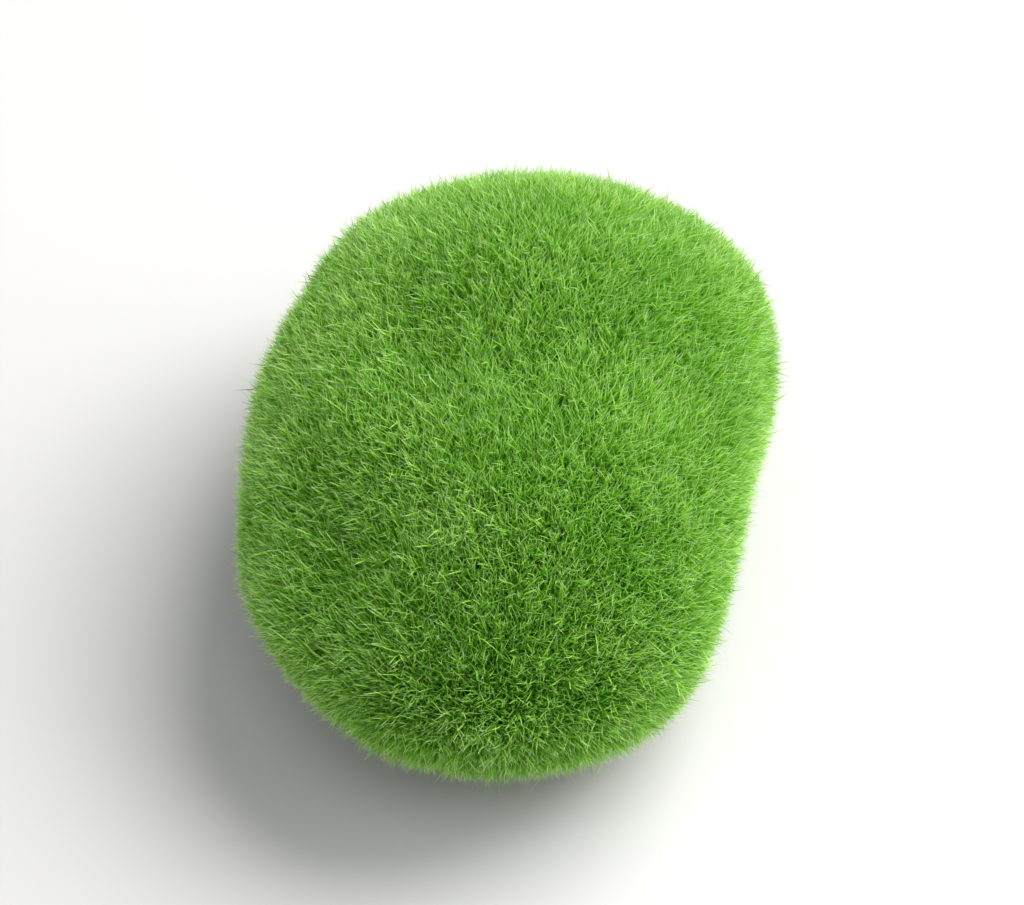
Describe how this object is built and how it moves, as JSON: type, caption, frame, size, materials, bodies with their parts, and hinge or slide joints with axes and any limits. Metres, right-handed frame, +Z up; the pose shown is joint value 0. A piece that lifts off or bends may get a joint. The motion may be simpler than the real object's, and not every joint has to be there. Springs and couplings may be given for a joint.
{
  "type": "moss clump",
  "caption": "Lopsided pebble-shaped cushion of short green moss fibres with soft humps and hollows, pressed flat underneath so that it rests.",
  "frame": {"origin": "middle of the clump's box, on the flat underside that it rests on", "axes": "+Z up from the flat underside; Y along the clump, with the higher back hump towards +Y; X across it"},
  "size_m": [0.094, 0.13, 0.061],
  "materials": {
    "moss": "soft matt green fibres, dark between them and yellow-green at the tips"
  },
  "bodies": {
    "root": {"moss_clump": "moss"}
  },
  "joints": []
}
